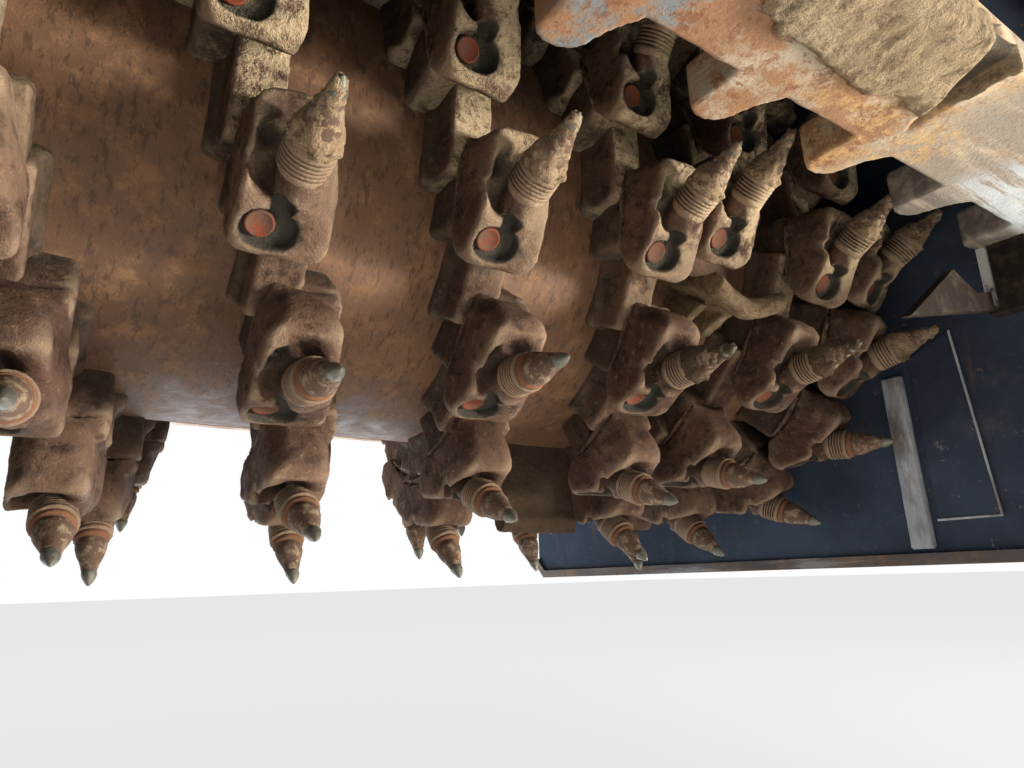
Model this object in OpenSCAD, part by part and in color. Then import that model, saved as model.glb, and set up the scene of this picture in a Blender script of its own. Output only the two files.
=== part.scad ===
// Milling drum unit of a compact cold planer: a helical drum of pick tools under its housing.
// X runs along the drum axis, -Y is the travel direction (the conveyor side), Z is up.
// The origin is the middle of the top flange that bolts to the machine frame. Sizes are millimetres.

/* [Drum] */
// working width of the drum, over the outer pick tips
drum_width = 1304; // [1000:1:1600]
// radius of the circle that the pick tips run on
tip_radius = 490; // [440:1:540]
// outside radius of the drum tube
tube_radius = 300; // [260:1:340]
// wall of the drum tube
tube_wall = 25; // [15:1:40]
// height of the flange face above the drum axis
axis_drop = 730; // [680:5:800]
// sideways step from one tool of a flight to the next
line_step = 45; // [30:1:60]
// turn from one tool of a flight to the next, in degrees
turn_step = 24.5; // [20:0.5:30]

/* [Tools] */
// width of the welded base block
base_width = 78; // [60:1:90]
// width of the clamped upper part
upper_width = 82; // [60:1:96]
// radius of the pick sleeve
sleeve_radius = 24; // [22:1:26]
// radius of the pick's wear ring
collar_radius = 21; // [18:1:24]
// length of a pick from its ring to its tip
pick_length = 62; // [50:1:80]
// lean of the pick from the radial line, in degrees
pick_lean = 36; // [30:1:45]
// width of the web between two tools of a flight
web_width = 50; // [30:1:70]
// outward lean of the tools at the drum's ends, in degrees
edge_lean = 16; // [5:1:25]

/* [Housing] */
// inner radius of the roof arch over the drum
roof_radius = 548; // [530:1:580]
// thickness of the roof arch
roof_wall = 12; // [8:1:20]
// outer face to outer face of the two fixed end walls
housing_width = 1456; // [1400:1:1600]
// thickness of a fixed end wall
wall_thickness = 16; // [10:1:25]
// thickness of a floating side plate
side_plate_thickness = 16; // [10:1:25]
// running gap between a side plate and its fixed wall
plate_gap = 6; // [5:1:15]
// width of the opening for the conveyor
mouth_width = 600; // [400:5:700]
// sideways place of the middle of that opening
mouth_centre = 320; // [0:5:350]

/* [Lifting parts] */
// width of the moldboard
board_width = 1290; // [1200:1:1400]
// height of the moldboard
board_height = 520; // [400:5:600]
// height of the moldboard's lower edge above the drum axis at rest
board_bottom = -185; // [-250:5:-100]
// width of the comb beam
beam_width = 1340; // [1200:1:1400]
// width of one comb tooth
tooth_width = 48; // [30:1:80]
// distance from one comb tooth to the next
tooth_pitch = 172; // [120:1:220]

/* [Show] */
// the sub-part to draw, or all

/* [Hidden] */
$fn = 48;

steel_grey = [0.20, 0.21, 0.22];
worn_grey = [0.42, 0.41, 0.40];
rust_brown = [0.36, 0.27, 0.20];
bright_steel = [0.70, 0.71, 0.72];
carbide_grey = [0.50, 0.52, 0.50];
cap_orange = [0.70, 0.27, 0.15];

// Places along X, each from the fixed walls inwards
wall_out = housing_width / 2;
wall_in = wall_out - wall_thickness;
plate_out = wall_in - plate_gap;
plate_in = plate_out - side_plate_thickness;
// the moving parts between the side plates keep these clearances from them
tool_clearance = 12;
beam_clearance = 20;
board_clearance = 45;
beam_half = min(beam_width / 2, plate_in - beam_clearance);
board_half = min(board_width / 2, plate_in - board_clearance);
drum_end = min(drum_width / 2 - 27, plate_in - 65);

// Tools: where the base ends, where an edge tool starts to lean, and how far its corner reaches out
base_top = 372;
upper_pivot = 345;
edge_reach = cos(edge_lean) * upper_width / 2 + sin(edge_lean) * (435 - upper_pivot);
edge_x = min(drum_width / 2 - sin(edge_lean) * (tip_radius - upper_pivot), plate_in - tool_clearance - edge_reach);
sleeve_depth = 60;
hollow_radius = 22;
hollow_floor = 396;
hood_front = 14;
slope_foot = [-120, 384];
slope_head = [-62, 424];
slope_angle = atan2(slope_head[1] - slope_foot[1], slope_head[0] - slope_foot[0]);
seat_y = -sin(pick_lean) * pick_length;
seat_z = tip_radius - cos(pick_lean) * pick_length;

// Drum tools. Columns: sideways place and angle of the pick tip, the angle up from the front of the drum,
// and the outward lean. Left flights run down towards the middle, right flights run down from the right end.
// The places are those of a drum whose edge tools stand at standard_edge_x; a narrower drum moves them all inwards.
standard_edge_x = 612;
flight_shift = min(0, edge_x - standard_edge_x);
left_starts = [for (start = [[298, -56.5], [266, -159.7], [285, 72.6]]) [start[0] + flight_shift, start[1]]];
function left_count(start) = 1 + floor((start[0] + edge_x - 10) / line_step);
function left_flight(start) =
    [for (i = [0:left_count(start) - 1]) [start[0] - line_step * i, start[1] + turn_step * i, 0]];

// tools at one end of the drum, close behind one another
function edge_group(side, first_angle, count) =
    [for (i = [0:count - 1]) [side * edge_x, first_angle + 20 * i, side * edge_lean]];

// the right flights end short of the right edge tools
right_flight_table = [[304, -2], [345, 19.5], [381, 45], [426, 69], [471, 92.7], [516, 116.5],
                      [561, 141.7], [526, 167]];
right_turns = [-120, 0, 120];
function right_flight(turn) =
    [for (tool = right_flight_table) [tool[0] + flight_shift, tool[1] + turn, 0]];

left_flights = [for (start = left_starts) left_flight(start)];
left_edges = [for (start = left_starts) edge_group(-1, start[1] + turn_step * left_count(start), 3)];
right_flights = [for (turn = right_turns) right_flight(turn)];
right_edges = [for (turn = right_turns) edge_group(1, turn + 58.5, 4)];

// Ejector blades. Columns: sideways place, angle, half width, height from the tube's wall, sweep of the ends.
ejector_table = [for (turn = [0, 120, 240], blade = [[270, -88, 66, 140, 0], [362, -26, 62, 118, 14]])
    [blade[0] + flight_shift, blade[1] + turn, blade[2], blade[3], blade[4]]];

// Moldboard cylinders and side plate cylinders: places along X and Y.
moldboard_cylinders = [-430, 430];
side_cylinders = [-470, 430];
side_cylinder_x = wall_out + 36;
skid_width = 24;
board_cylinder_y = 640;
board_cylinder_low = 180;
board_cylinder_high = 580;
neck_radius = 119.5;

// Front wall, and the gearbox at the right wall.
front_y = -640;
front_thickness = 12;
collar_depth = 60;
gearbox_face = wall_in - 166;
flange_step = 24;

// Comb beam: its pivot seen along X, the places of its arms, and the left sides of its teeth.
pivot_y = front_y - 30;
pivot_z = 14;
beam_arm_places = [-beam_half + 70, -150, beam_half - 110];
beam_top = -44;
beam_thickness = 46;
beam_back = -570;
tooth_places = [for (x = [beam_half - 1.3 * tooth_width:-tooth_pitch:-beam_half + 2]) x];

// one tooth seen from above, from its right root to its left: a hollow corner, a rounded end, a square side
tooth_outline = [[60, 0], [60, 5], [57, 11], [52, 19], [48, 31], [43, 48], [36, 55], [27, 59], [12, 59],
                 [4, 56], [0, 50], [0, 0]];
beam_outline = concat(
    [[-beam_half, front_y - 60], [beam_half, front_y - 60], [beam_half, beam_back]],
    [for (x = tooth_places, corner = tooth_outline) [x + corner[0] * tooth_width / 48, beam_back + corner[1]]],
    [[-beam_half, beam_back]]);

module at_axis() { translate([0, 0, -axis_drop]) children(); }

// extrude a Y-Z outline along X, centred on x = 0
module along_x(width) {
    rotate([90, 0, 90]) translate([0, 0, -width / 2]) linear_extrude(width) children();
}

// a bar or tube along X
module bar_x(x_from, x_to, radius) {
    translate([x_from, 0, 0]) rotate([0, 90, 0]) cylinder(h = x_to - x_from, r = radius);
}

// put a tool at its table row: local Y is the direction of motion, local Z is radial
module at_tool(tool) {
    translate([tool[0], 0, 0]) rotate([90 - tool[1], 0, 0]) children();
}

module leaning(tool) {
    translate([0, 0, upper_pivot]) rotate([0, tool[2], 0]) translate([0, 0, -upper_pivot]) children();
}

module tool_base() {
    along_x(base_width)
        polygon([[-82, 255], [-82, 340], [-76, base_top], [8, base_top], [16, 345], [16, 255]]);
}

// its outer face slopes down to the trailing end; in front a hood with rounded corners wraps the sleeve,
// with a round hollow between the hood and the sleeve
module tool_upper() {
    half = upper_width / 2;
    difference() {
        intersection() {
            along_x(upper_width)
                polygon([[-80, 348], [-116, 370], slope_foot, slope_head, [hood_front - 12, slope_head[1] - 3],
                         [hood_front - 3, slope_head[1] - 12], [hood_front + 3, base_top], [hood_front - 4, 350]]);
            // the same part seen from outside
            translate([0, 0, 340])
                linear_extrude(slope_head[1] - 330)
                    polygon([[-half, -130], [-half, hood_front - 32], [-half + 8, hood_front - 10],
                             [-half + 28, hood_front + 4], [half / 2, hood_front + 4], [half * 0.75, -22],
                             [half, -60], [half, -130]]);
        }
        translate([-8, -27, hollow_floor]) cylinder(h = slope_head[1] - hollow_floor + 1, r = hollow_radius);
    }
    translate([0, seat_y, seat_z]) rotate([-pick_lean, 0, 0])
        translate([0, 0, -sleeve_depth]) cylinder(h = sleeve_depth, r = sleeve_radius);
}

module pick() {
    translate([0, seat_y, seat_z]) rotate([-pick_lean, 0, 0])
        rotate_extrude()
            polygon([[0, 0], [collar_radius, 0], [collar_radius, 6], [collar_radius - 3, 9], [17, 20],
                     [13, 0.5 * pick_length], [11, 0.66 * pick_length], [9, pick_length - 16],
                     [8, pick_length - 11], [2, pick_length], [0, pick_length]]);
}

// it sits on the sloping face, between the sleeve and the trailing end
module pick_cap() {
    translate([-14, slope_foot[0] + 16, slope_foot[1] + 16 * tan(slope_angle)])
        rotate([slope_angle, 0, 0]) cylinder(h = 5, r = 15);
}

module flight_web(lower, upper) {
    middle = [(lower[0] + upper[0]) / 2, (lower[1] + upper[1]) / 2 - 6];
    at_tool(middle) along_x(web_width) polygon([[-44, 255], [-40, 345], [40, 345], [44, 255]]);
}

// a row of welded bases joined by webs, with the upper parts clamped on, all seated on the tube
module flight(tools, edges) {
    difference() {
        union() {
            for (tool = concat(tools, edges)) {
                at_tool(tool) tool_base();
                at_tool(tool) leaning(tool) tool_upper();
            }
            for (i = [0:len(tools) - 2]) {
                flight_web(tools[i], tools[i + 1]);
            }
        }
        bar_x(-drum_width, drum_width, tube_radius, $fn = 96);
    }
}

module picks_of(tools) {
    for (tool = tools) {
        at_tool(tool) leaning(tool) pick();
    }
}

module caps_of(tools) {
    for (tool = tools) {
        at_tool(tool) leaning(tool) pick_cap();
    }
}

module drum_tube() {
    color(rust_brown) at_axis()
        difference() {
            bar_x(-drum_end, drum_end, tube_radius, $fn = 96);
            bar_x(-drum_end - 1, drum_end + 1, tube_radius - tube_wall);
        }
}

module drum_hub() {
    color(steel_grey) at_axis() {
        difference() {
            union() {
                bar_x(gearbox_face - 126, gearbox_face - 96, tube_radius - tube_wall);
                bar_x(gearbox_face - 96, gearbox_face - 1, 170);
            }
            bar_x(gearbox_face - 127, gearbox_face, 60.05);
        }
        bar_x(-drum_end + 25, -drum_end + 50, tube_radius - tube_wall);
        bar_x(-wall_out - 17, -drum_end + 25, 50);
        bar_x(-plate_in + 14, -drum_end + 25, 80);
    }
}

module ejectors() {
    color(worn_grey) at_axis()
        difference() {
            for (blade = ejector_table) {
                at_tool(blade) {
                    // the blade seen from outside, bent back towards its ends
                    translate([0, 0, tube_radius - 12]) linear_extrude(blade[3])
                        polygon([[-blade[2], -blade[4] - 8], [0, -8], [blade[2], -blade[4] - 8],
                                 [blade[2], -blade[4] + 8], [0, 8], [-blade[2], -blade[4] + 8]]);
                    // two ribs behind it
                    for (x = [-blade[2] * 0.6, blade[2] * 0.2]) {
                        translate([x - 7, -46, tube_radius - 12]) cube([14, 46 - blade[4] / 2, blade[3] - 46]);
                    }
                }
            }
            bar_x(-drum_width, drum_width, tube_radius, $fn = 96);
        }
}

module roof_shell() {
    color(steel_grey) at_axis() {
        // the crown reaches the end walls, over the side plates at their highest
        along_x(2 * wall_in)
            roof_arch(230);
        // its rear skirt stays between the side plates
        along_x(2 * plate_in - 16)
            roof_arch(60);
    }
}

// the arch over the drum: open to the conveyor at the front, cut at lower_edge at the rear
module roof_arch(lower_edge) {
    difference() {
        circle(r = roof_radius + roof_wall, $fn = 120);
        circle(r = roof_radius, $fn = 120);
        translate([-700, -700]) square([1400, 700 + lower_edge]);
        translate([-700, 0]) square([300, 400]);
    }
}

module top_flange() {
    color(steel_grey)
        difference() {
            translate([-wall_out, -350, -30]) cube([2 * wall_out, 700, 30]);
            for (x = [-650, -250, 250, 650], y = [-290, 290]) {
                translate([x, y, -31]) cylinder(h = 32, r = 13);
            }
        }
}

module crown_ribs() {
    color(steel_grey) at_axis()
        for (x = [-wall_out + 128, -200, 200, wall_out - 128]) {
            translate([x, 0, 0]) along_x(14)
                difference() {
                    translate([-330, 430]) square([660, axis_drop - 30 - 430]);
                    circle(r = roof_radius + roof_wall, $fn = 120);
                }
        }
}

module end_wall_outline() {
    translate([-646, -120]) square([1286, 400]);
    polygon([[-646, 279], [640, 279], [350, axis_drop - 30], [-350, axis_drop - 30]]);
    circle(r = 270, $fn = 96);
}

module end_wall(side) {
    color(steel_grey) at_axis()
        translate([side * (wall_out + wall_in) / 2, 0, 0])
            along_x(wall_thickness)
                difference() {
                    end_wall_outline();
                    circle(r = neck_radius, $fn = 96);
                }
}

module front_wall() {
    color(steel_grey) at_axis() {
        difference() {
            translate([-wall_in, front_y, -30]) cube([2 * wall_in, front_thickness, 360]);
            translate([mouth_centre - mouth_width / 2, front_y - 1, 90])
                cube([mouth_width, front_thickness + 2, 200]);
        }
        // the sloping plate from the front wall up to the arch
        along_x(2 * wall_in)
            difference() {
                polygon([[front_y, 318], [-380, 398], [-380, 412], [front_y, 330]]);
                circle(r = roof_radius + roof_wall, $fn = 120);
            }
    }
}

module conveyor_collar() {
    color(steel_grey) at_axis()
        difference() {
            translate([mouth_centre - mouth_width / 2 - 30, front_y - collar_depth, 60])
                cube([mouth_width + 60, collar_depth, 260]);
            translate([mouth_centre - mouth_width / 2, front_y - collar_depth - 1, 90])
                cube([mouth_width, collar_depth + 2, 200]);
            // the outside of the collar is stepped back behind its front rim
            translate([mouth_centre - mouth_width / 2 - 31, front_y - collar_depth + 12, 59])
                difference() {
                    cube([mouth_width + 62, collar_depth - 11, 262]);
                    translate([19, -1, 19]) cube([mouth_width + 24, collar_depth - 9, 224]);
                }
        }
}

module rear_guides() {
    color(steel_grey) at_axis()
        for (side = [-1, 1]) {
            mirror([side < 0 ? 1 : 0, 0, 0])
                difference() {
                    translate([board_half - 17, 561, -110]) cube([wall_in - board_half + 17, 55, 455]);
                    translate([board_half - 45, 568, -111]) cube([62, 36, 457]);
                }
        }
}

module rear_beam() {
    color(steel_grey) at_axis()
        along_x(2 * wall_in)
            difference() {
                polygon([[370, 401], [556, 401], [556, 345], [600, 345], [600, 413], [370, 413]]);
                circle(r = roof_radius + roof_wall, $fn = 120);
            }
}

module gearbox() {
    color(steel_grey) at_axis() {
        bar_x(gearbox_face, wall_in, 165);
        bar_x(wall_out, wall_out + flange_step, 230);
        bar_x(wall_in, wall_out, neck_radius);
        bar_x(gearbox_face - 122, gearbox_face, 60);
    }
}

module bearing_housing() {
    color(steel_grey) at_axis()
        difference() {
            union() {
                bar_x(-wall_out - flange_step, -wall_out, 170);
                bar_x(-wall_out, -wall_in, neck_radius);
                bar_x(-wall_in, -wall_in + 22, 110);
                bar_x(-wall_out - flange_step - 38, -wall_out - flange_step, 95);
            }
            bar_x(-wall_out - 32, -wall_in + 23, 50.05);
        }
}

module drive_cover() {
    color(steel_grey) at_axis()
        translate([wall_out + flange_step + 35, 0, 0]) along_x(70)
            joined_circles(190, 130, 360);
}

// a plain outline that joins two circles: one on the axis and one higher up
module joined_circles(low_radius, high_radius, rise) {
    circle(r = low_radius, $fn = 96);
    translate([0, rise]) circle(r = high_radius, $fn = 96);
    polygon([[-low_radius, 0], [low_radius, 0], [high_radius, rise], [-high_radius, rise]]);
}

module spray_bar() {
    color(bright_steel) at_axis() {
        translate([0, front_y + 40, 304]) bar_x(-wall_in + 12, wall_in - 12, 14);
        for (x = [-600:150:600]) {
            translate([x, front_y + 40, 304]) rotate([-125, 0, 0]) cylinder(h = 30, r = 7);
        }
    }
}

module moldboard_barrels() {
    color(steel_grey) at_axis()
        for (x = moldboard_cylinders) {
            difference() {
                union() {
                    translate([x, board_cylinder_y, board_cylinder_low])
                        cylinder(h = board_cylinder_high - board_cylinder_low, r = 38);
                    translate([x - 30, board_cylinder_y - 40, 350]) cube([60, 40, 60]);
                }
                translate([x, board_cylinder_y, board_cylinder_low - 1])
                    cylinder(h = board_cylinder_high - board_cylinder_low - 19, r = 18.3);
            }
        }
}

module side_plate_barrels() {
    color(steel_grey) at_axis()
        for (side = [-1, 1], y = side_cylinders) {
            difference() {
                union() {
                    translate([side * side_cylinder_x, y, -30]) cylinder(h = 340, r = 32);
                    mirror([side < 0 ? 1 : 0, 0, 0])
                        translate([wall_out, y - 20, 150]) cube([side_cylinder_x - wall_out, 40, 50]);
                }
                translate([side * side_cylinder_x, y, -31]) cylinder(h = 321, r = 15.3);
            }
        }
}

module beam_brackets() {
    color(steel_grey) at_axis()
        for (x = beam_arm_places, side = [-1, 1]) {
            difference() {
                translate([x + side * 29 - 10, front_y - 58, -30]) cube([20, 58, 76]);
                translate([0, pivot_y, pivot_z]) bar_x(x - 60, x + 60, 12.3);
            }
        }
}

module comb_beam() {
    color(worn_grey) at_axis()
        translate([0, 0, beam_top - beam_thickness]) linear_extrude(beam_thickness) polygon(beam_outline);
}

module beam_arms() {
    color(worn_grey) at_axis()
        for (x = beam_arm_places) {
            translate([x - 12, pivot_y - 25, beam_top]) cube([24, 50, pivot_z - beam_top]);
            translate([0, pivot_y, pivot_z]) bar_x(x - 12, x + 12, 24);
            translate([0, pivot_y, pivot_z]) bar_x(x - 44, x + 44, 12);
        }
}

module beam_gussets() {
    color(worn_grey) at_axis()
        for (side = [-1, 1]) {
            mirror([side < 0 ? 1 : 0, 0, 0])
                translate([beam_half, beam_back + 56, 0]) {
                    // a scraper tongue at the foot of a thick hanger at the beam's end
                    rotate([90, 0, 0]) linear_extrude(12)
                        polygon([[-260, -231], [-134, -148], [-80, -168], [-12, -150], [-12, -176]]);
                    translate([-24, -56, -182]) cube([24, 56, 182 + beam_top - beam_thickness]);
                }
        }
}

module side_plate(side) {
    color(steel_grey) at_axis()
        translate([side * (plate_in + plate_out) / 2, 0, 0])
            along_x(side_plate_thickness)
                difference() {
                    polygon([[-584, -476], [520, -476], [548, -448], [548, 60], [-620, 60], [-620, -440]]);
                    translate([0, -150]) circle(r = 178, $fn = 96);
                    translate([-178, -150]) square([356, 300]);
                }
}

module skid(side) {
    color(worn_grey) at_axis()
        translate([side * (plate_out - skid_width / 2), 0, 0])
            along_x(skid_width)
                polygon([[-584, -492], [524, -492], [548, -468], [548, -448], [520, -476], [-584, -476],
                         [-620, -440], [-620, -456]]);
}

module side_rods(side) {
    color(bright_steel) at_axis()
        for (y = side_cylinders) {
            translate([side * side_cylinder_x, y, -450]) cylinder(h = 570, r = 15);
            translate([side * side_cylinder_x, y, -436])
                rotate([0, -side * 90, 0]) cylinder(h = side_cylinder_x - plate_out, r = 13);
        }
}

module moldboard() {
    color(steel_grey) at_axis() {
        translate([-board_half, 578, board_bottom + 20]) cube([2 * board_half, 16, board_height - 20]);
        for (x = moldboard_cylinders) {
            translate([x - 36, 594, board_bottom + 40]) cube([72, board_cylinder_y - 594 + 38, 24]);
        }
    }
}

module moldboard_edge() {
    color(worn_grey) at_axis()
        translate([-board_half, 575, board_bottom]) cube([2 * board_half, 22, 20]);
}

module moldboard_rods() {
    color(bright_steel) at_axis()
        for (x = moldboard_cylinders) {
            translate([x, board_cylinder_y, board_bottom + 64]) cylinder(h = board_height + 120, r = 18);
        }
}

roof_shell();
top_flange();
crown_ribs();
end_wall(-1);  // left_wall
end_wall(1);  // right_wall
front_wall();
conveyor_collar();
rear_guides();
rear_beam();
gearbox();
bearing_housing();
drive_cover();
spray_bar();
moldboard_barrels();
side_plate_barrels();
beam_brackets();
drum_tube();
drum_hub();
color(rust_brown) at_axis() flight(left_flights[0], left_edges[0]);  // left_flight_1
color(rust_brown) at_axis() flight(left_flights[1], left_edges[1]);  // left_flight_2
color(rust_brown) at_axis() flight(left_flights[2], left_edges[2]);  // left_flight_3
color(rust_brown) at_axis() flight(right_flights[0], right_edges[0]);  // right_flight_1
color(rust_brown) at_axis() flight(right_flights[1], right_edges[1]);  // right_flight_2
color(rust_brown) at_axis() flight(right_flights[2], right_edges[2]);  // right_flight_3
color(carbide_grey) at_axis() {  // left_picks
    for (i = [0:2]) {
        picks_of(left_flights[i]);
        picks_of(left_edges[i]);
    }
}
color(carbide_grey) at_axis() {  // right_picks
    for (i = [0:2]) {
        picks_of(right_flights[i]);
        picks_of(right_edges[i]);
    }
}
color(cap_orange) at_axis() {  // pick_caps
    for (i = [0:2]) {
        caps_of(left_flights[i]);
        caps_of(left_edges[i]);
        caps_of(right_flights[i]);
        caps_of(right_edges[i]);
    }
}
ejectors();
side_plate(-1);  // left_side_plate
skid(-1);  // left_skid
side_rods(-1);  // left_rods
side_plate(1);  // right_side_plate
skid(1);  // right_skid
side_rods(1);  // right_rods
moldboard();
moldboard_edge();
moldboard_rods();
comb_beam();
beam_arms();
beam_gussets();
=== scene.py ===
"""Looks of a milling drum unit: drum, pick holders, picks, comb beam and housing, seen from under the drum.

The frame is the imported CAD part. Metres, X along the drum axis, -Y the travel direction, Z up,
origin on the top flange. Cast pieces are shaped by distance fields in millimetres and cut to meshes here.
A tool's own frame has X sideways, Y along its motion and Z outwards from the drum's axis.
"""

import math

import bmesh
import bpy
import numpy as np
from mathutils import Matrix, Vector


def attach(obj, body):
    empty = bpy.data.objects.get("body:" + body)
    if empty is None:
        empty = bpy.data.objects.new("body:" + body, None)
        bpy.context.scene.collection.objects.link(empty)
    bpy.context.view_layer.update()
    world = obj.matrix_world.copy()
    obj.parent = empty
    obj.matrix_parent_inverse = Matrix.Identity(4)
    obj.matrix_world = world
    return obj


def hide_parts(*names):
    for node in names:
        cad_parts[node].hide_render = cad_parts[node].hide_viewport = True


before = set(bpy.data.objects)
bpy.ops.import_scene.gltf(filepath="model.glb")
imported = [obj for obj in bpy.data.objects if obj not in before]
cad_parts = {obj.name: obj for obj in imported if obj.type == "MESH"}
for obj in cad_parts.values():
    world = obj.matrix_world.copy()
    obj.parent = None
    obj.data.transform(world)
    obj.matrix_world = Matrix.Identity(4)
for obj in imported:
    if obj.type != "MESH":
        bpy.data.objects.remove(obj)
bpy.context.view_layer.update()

MM = 0.001
AXIS_Z = -0.730

# The drum's tools, in mm and degrees.
TIP_RADIUS = 490.0
PICK_LENGTH = 62.0
PICK_LEAN = math.radians(36)
PICK_LINE = np.array([0.0, math.sin(PICK_LEAN), math.cos(PICK_LEAN)])
SEAT = np.array([0.0, 0.0, TIP_RADIUS]) - PICK_LENGTH * PICK_LINE
LINE_STEP = 45.0
TURN_STEP = 24.5
EDGE_X = 612.0
EDGE_LEAN = 16.0
EDGE_TURN_STEP = 20.0
LEFT_EDGE_TOOLS = 3
RIGHT_EDGE_TOOLS = 4
RIGHT_EDGE_START = 58.5
LEAN_PIVOT = 345.0

# Left flights. Columns: the first tool's place sideways and angle up from the drum's front, number of tools.
LEFT_STARTS = [(298, -56.5, 21), (266, -159.7, 20), (285, 72.6, 20)]
# One right flight. Columns: sideways place of a tool, angle up from the drum's front.
RIGHT_PLACES = [(304, -2), (345, 19.5), (381, 45), (426, 69), (471, 92.7), (516, 116.5), (561, 141.7),
                (526, 167)]
RIGHT_TURNS = [-120, 0, 120]


def left_flight(start_x, start_angle, count):
    """The tools of one left flight, then the three tools at the drum's left end."""
    rows = [(start_x - LINE_STEP * i, start_angle + TURN_STEP * i, 0.0) for i in range(count)]
    first = start_angle + TURN_STEP * count
    ends = [(-EDGE_X, first + EDGE_TURN_STEP * i, -EDGE_LEAN) for i in range(LEFT_EDGE_TOOLS)]
    return rows, ends


def right_flight(turn):
    """The tools of one right flight, then the four tools at the drum's right end."""
    rows = [(x, angle + turn, 0.0) for x, angle in RIGHT_PLACES]
    first = turn + RIGHT_EDGE_START
    ends = [(EDGE_X, first + EDGE_TURN_STEP * i, EDGE_LEAN) for i in range(RIGHT_EDGE_TOOLS)]
    return rows, ends


FLIGHTS = {}
for number, start in enumerate(LEFT_STARTS, 1):
    FLIGHTS["left_flight_%d" % number] = left_flight(*start)
for number, turn in enumerate(RIGHT_TURNS, 1):
    FLIGHTS["right_flight_%d" % number] = right_flight(turn)


def tool_matrix(place_x, angle, lean=0.0):
    """From a tool's own frame in mm to the row frame in metres."""
    turn = Matrix.Rotation(math.radians(90 - angle), 4, "X")
    tilt = Matrix.Translation((0, 0, LEAN_PIVOT * MM)) @ Matrix.Rotation(math.radians(lean), 4, "Y")
    tilt = tilt @ Matrix.Translation((0, 0, -LEAN_PIVOT * MM))
    return Matrix.Translation((place_x * MM, 0, AXIS_Z)) @ turn @ tilt


# Shaping by distance fields. Every shape takes points in mm, an array of n by 3, and returns n distances.


def soft_join(a, b, blend):
    """Both shapes, with a fillet where they meet."""
    share = np.clip(0.5 + 0.5 * (b - a) / blend, 0, 1)
    return b * (1 - share) + a * share - blend * share * (1 - share)


def soft_cut(a, b, blend):
    """The first shape without the second, with a rounded rim."""
    return -soft_join(-a, b, blend)


def closed(side, end):
    """What lies within a side and between its two end faces."""
    return np.minimum(np.maximum(side, end), 0) + np.hypot(np.maximum(side, 0), np.maximum(end, 0))


def block(points, centre, half, rounding):
    """A box with rounded edges."""
    away = np.abs(points - np.array(centre)) - (np.array(half) - rounding)
    outside = np.linalg.norm(np.maximum(away, 0), axis=1)
    return outside + np.minimum(away.max(axis=1), 0) - rounding


def ellipsoid(points, centre, radii):
    """An ellipsoid with its axes along X, Y and Z."""
    moved = points - np.array(centre)
    radii = np.array(radii, float)
    near = np.linalg.norm(moved / radii, axis=1)
    slope = np.linalg.norm(moved / radii ** 2, axis=1)
    return near * (near - 1) / np.maximum(slope, 1e-9)


def rod(points, start, end, radius):
    """A round bar with flat ends between two points."""
    start = np.array(start, float)
    line = np.array(end, float) - start
    length = np.linalg.norm(line)
    line /= length
    along = (points - start) @ line
    across = np.linalg.norm(points - start - np.outer(along, line), axis=1) - radius
    return closed(across, np.abs(along - length / 2) - length / 2)


def outline_distance(u, v, corners):
    """Distance to a closed polygon in the plane, negative inside."""
    corners = np.array(corners, float)
    best = np.full(u.shape, 1e18)
    inside = np.zeros(u.shape, bool)
    for a, b in zip(corners, np.roll(corners, -1, axis=0)):
        side = b - a
        share = np.clip(((u - a[0]) * side[0] + (v - a[1]) * side[1]) / (side @ side), 0, 1)
        best = np.minimum(best, (u - a[0] - share * side[0]) ** 2 + (v - a[1] - share * side[1]) ** 2)
        crossing = (a[1] > v) != (b[1] > v)
        if a[1] != b[1]:
            inside ^= crossing & (u < (b[0] - a[0]) * (v - a[1]) / (b[1] - a[1]) + a[0])
    return np.where(inside, -1, 1) * np.sqrt(best)


def slab(flat_distance, depth, half_depth, rounding):
    """A flat outline given thickness, with rounded rims."""
    return closed(flat_distance + rounding, np.abs(depth) - half_depth + rounding) - rounding


def lumps(points, size, seed):
    """Smooth random relief from about -1 to 1, the same on every run."""
    octaves, waves, falloff = 3, 6, 1.6
    random = np.random.RandomState(seed)
    total = np.zeros(len(points))
    for octave in range(octaves):
        for _ in range(waves):
            direction = random.normal(size=3)
            direction *= 2 ** octave * 2 * math.pi / (size * np.linalg.norm(direction))
            phase = random.uniform(0, 2 * math.pi)
            total += np.sin(points @ direction + phase) / (waves * falloff ** octave)
    return total


def crossed_cells(values):
    """Numbers the grid cells that the surface crosses, with the mean of each one's crossings in steps."""
    corners = [(i, j, k) for i in (0, 1) for j in (0, 1) for k in (0, 1)]
    size = [n - 1 for n in values.shape]

    def corner_of(array, corner):
        """The values at one corner of every cell."""
        return array[tuple(slice(o, o + n) for o, n in zip(corner, size))]

    filled = sum(corner_of(values < 0, c).astype(int) for c in corners)
    active = (filled > 0) & (filled < 8)
    where = np.argwhere(active)
    numbers = np.full(size, -1)
    numbers[active] = np.arange(len(where))
    total = np.zeros((len(where), 3))
    hits = np.zeros(len(where))
    for a in corners:
        for axis in range(3):
            if a[axis]:
                continue
            b = tuple(o + (1 if i == axis else 0) for i, o in enumerate(a))
            near, far = corner_of(values, a)[active], corner_of(values, b)[active]
            cross = (near < 0) != (far < 0)
            share = np.where(cross, near / np.where(cross, near - far, 1), 0)
            point = np.array(a, float) + np.outer(share, np.array(b, float) - np.array(a, float))
            total += point * cross[:, None]
            hits += cross
    return numbers, where + total / hits[:, None]


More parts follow.
